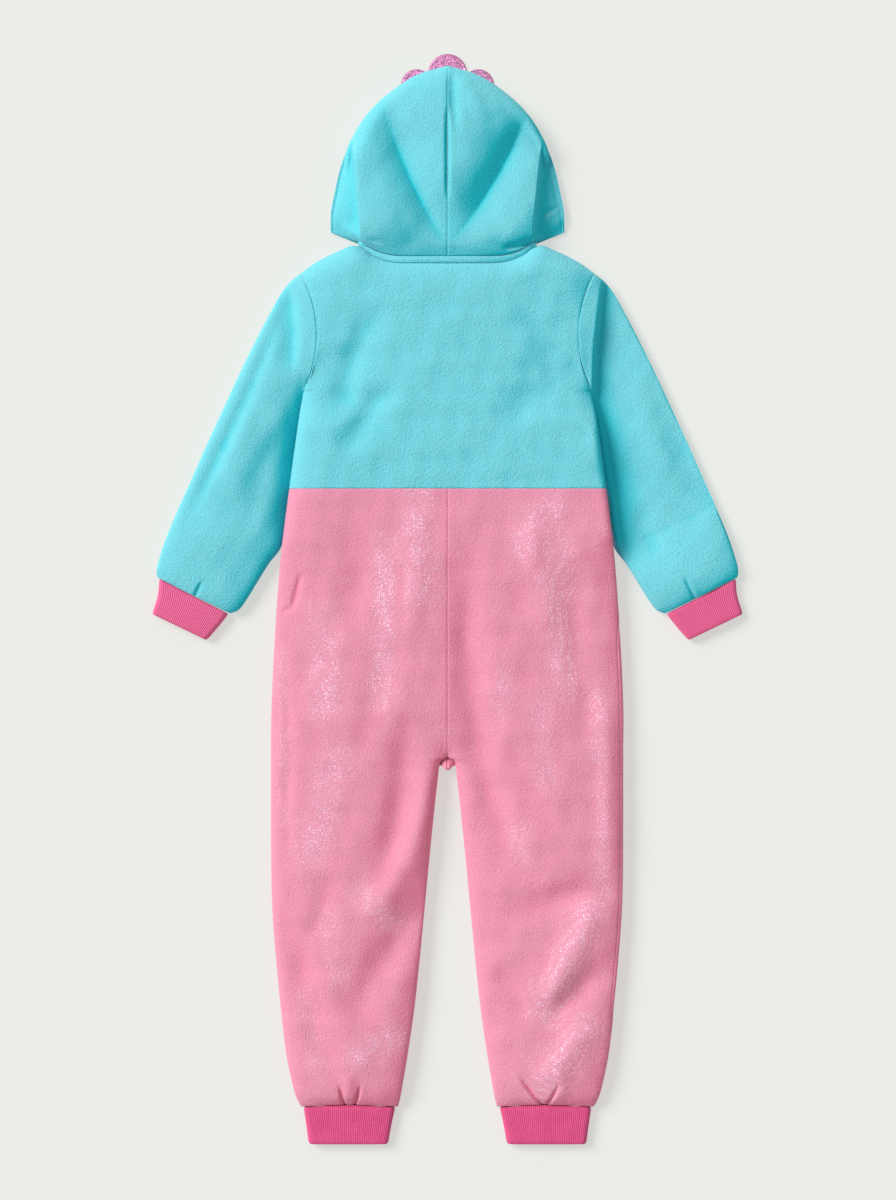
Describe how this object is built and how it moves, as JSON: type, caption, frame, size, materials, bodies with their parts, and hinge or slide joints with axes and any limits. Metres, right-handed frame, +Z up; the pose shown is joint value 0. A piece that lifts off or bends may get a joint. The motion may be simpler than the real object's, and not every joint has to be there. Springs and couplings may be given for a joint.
{
  "type": "onesie pajama",
  "caption": "Child's hooded fleece onesie pajama lying flat with its back up: hood with a scalloped crest, long sleeves, rib cuffs at wrists and ankles, hollow inside.",
  "frame": {"origin": "middle of the garment's outline, on the surface it lies on", "axes": "+X across the garment to its right as it lies, +Y from the ankles to the hood, +Z up from the surface"},
  "size_m": [0.6512, 1.2, 0.0411],
  "materials": {
    "aqua_fleece": "aqua polyester fleece, short nap",
    "pink_fleece": "pink fleece with fine foil specks",
    "rib_knit": "hot pink rib knit",
    "glitter": "glitter-coated fabric",
    "zip_tape": "woven tape with moulded teeth",
    "zip_metal": "bright zinc"
  },
  "bodies": {
    "garment": {"hood_left": "aqua_fleece", "hood_right": "aqua_fleece", "crest": "glitter", "neck_tape": "aqua_fleece", "back_bodice": "aqua_fleece", "front_bodice_left": "aqua_fleece", "front_bodice_right": "aqua_fleece", "sleeve_left": "aqua_fleece", "sleeve_right": "aqua_fleece", "wrist_cuff_left": "rib_knit", "wrist_cuff_right": "rib_knit", "back_leg_left": "pink_fleece", "back_leg_right": "pink_fleece", "front_leg_left": "pink_fleece", "front_leg_right": "pink_fleece", "ankle_cuff_left": "rib_knit", "ankle_cuff_right": "rib_knit", "front_zip": "zip_tape", "zip_slider": "zip_metal"},
    "zip_pull": {"zip_pull": "zip_metal"}
  },
  "joints": [
    {"name": "zip_pull_hinge", "type": "hinge", "parent": "garment", "child": "zip_pull", "pos_m": [0, 0.348, 0.0021], "axis": [1, 0, 0], "range_deg": [0, 160]}
  ]
}
